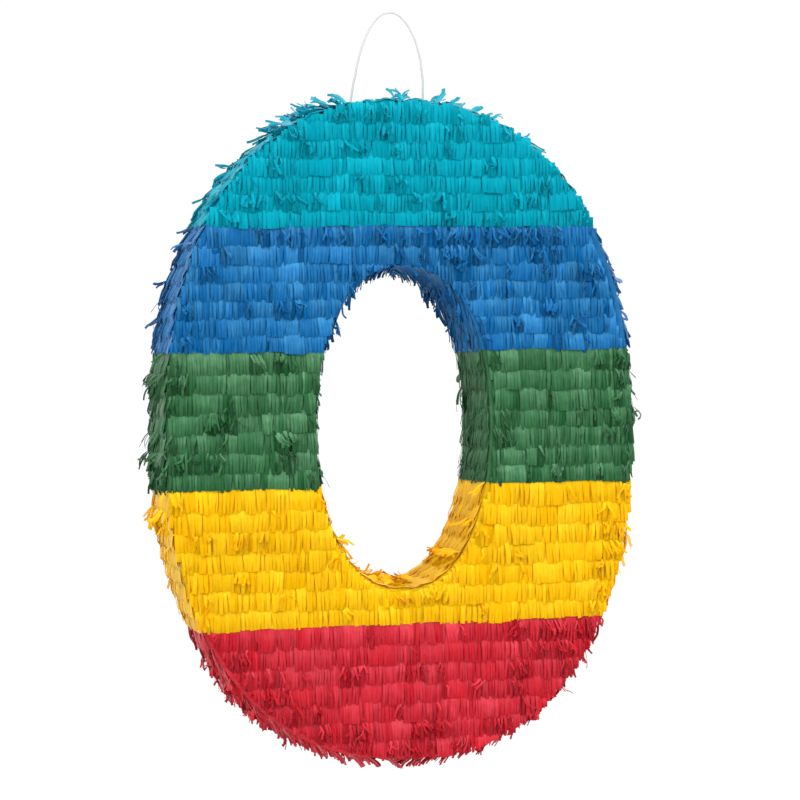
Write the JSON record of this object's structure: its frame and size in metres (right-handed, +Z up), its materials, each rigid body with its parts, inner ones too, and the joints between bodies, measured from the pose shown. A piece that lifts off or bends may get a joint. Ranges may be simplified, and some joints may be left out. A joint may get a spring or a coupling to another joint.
{
  "type": "pinata",
  "caption": "Hollow cardboard party pinata shaped as the numeral zero, covered in coloured bands of fringed paper, with a fill flap in the back and a cord loop to hang it by.",
  "frame": {"origin": "underside of the cord loop at its top, where a hook or line holds it", "axes": "+Z up, along the numeral's height; +Y out of the back face, so the front face looks along -Y; +X across the numeral, to the right seen from the front"},
  "size_m": [0.401, 0.0884, 0.626],
  "materials": {
    "kraft_cardboard": "matte",
    "gummed_tape": "satin",
    "white_cord": "matte",
    "crepe_turquoise": "matte",
    "crepe_blue": "matte",
    "crepe_green": "matte",
    "crepe_yellow": "matte",
    "crepe_red": "matte"
  },
  "bodies": {
    "hanger": {"hanger_cord": "white_cord"},
    "shell": {"front_panel": "kraft_cardboard", "back_panel": "kraft_cardboard", "outer_wall_left": "kraft_cardboard", "outer_wall_right": "kraft_cardboard", "hole_wall_left": "kraft_cardboard", "hole_wall_right": "kraft_cardboard", "hanger_patch": "kraft_cardboard", "outer_seam_tape": "gummed_tape", "hole_seam_tapes": "gummed_tape", "hanger_knots": "white_cord", "turquoise_front": "crepe_turquoise", "blue_front": "crepe_blue", "green_front_left": "crepe_green", "green_front_right": "crepe_green", "yellow_front": "crepe_yellow", "red_front": "crepe_red", "turquoise_back": "crepe_turquoise", "blue_back": "crepe_blue", "green_back_left": "crepe_green", "green_back_right": "crepe_green", "yellow_back": "crepe_yellow", "red_back": "crepe_red", "turquoise_outer": "crepe_turquoise", "blue_outer_left": "crepe_blue", "blue_outer_right": "crepe_blue", "green_outer_left": "crepe_green", "green_outer_right": "crepe_green", "yellow_outer_left": "crepe_yellow", "yellow_outer_right": "crepe_yellow", "red_outer": "crepe_red", "blue_inner": "crepe_blue", "green_inner_left": "crepe_green", "green_inner_right": "crepe_green", "yellow_inner": "crepe_yellow", "turquoise_bindings": "crepe_turquoise", "blue_bindings": "crepe_blue", "green_bindings": "crepe_green", "yellow_bindings": "crepe_yellow", "red_bindings": "crepe_red"},
    "flap": {"fill_flap": "kraft_cardboard", "flap_fringe": "crepe_turquoise"}
  },
  "joints": [
    {"name": "shell_swing", "type": "hinge", "parent": "hanger", "child": "shell", "pos_m": [0, 0, -0.076], "axis": [1, 0, 0], "range_deg": [-80, 80]},
    {"name": "fill_flap_hinge", "type": "hinge", "parent": "shell", "child": "flap", "pos_m": [0, 0.042, -0.11], "axis": [1, 0, 0], "range_deg": [0, 110]}
  ]
}
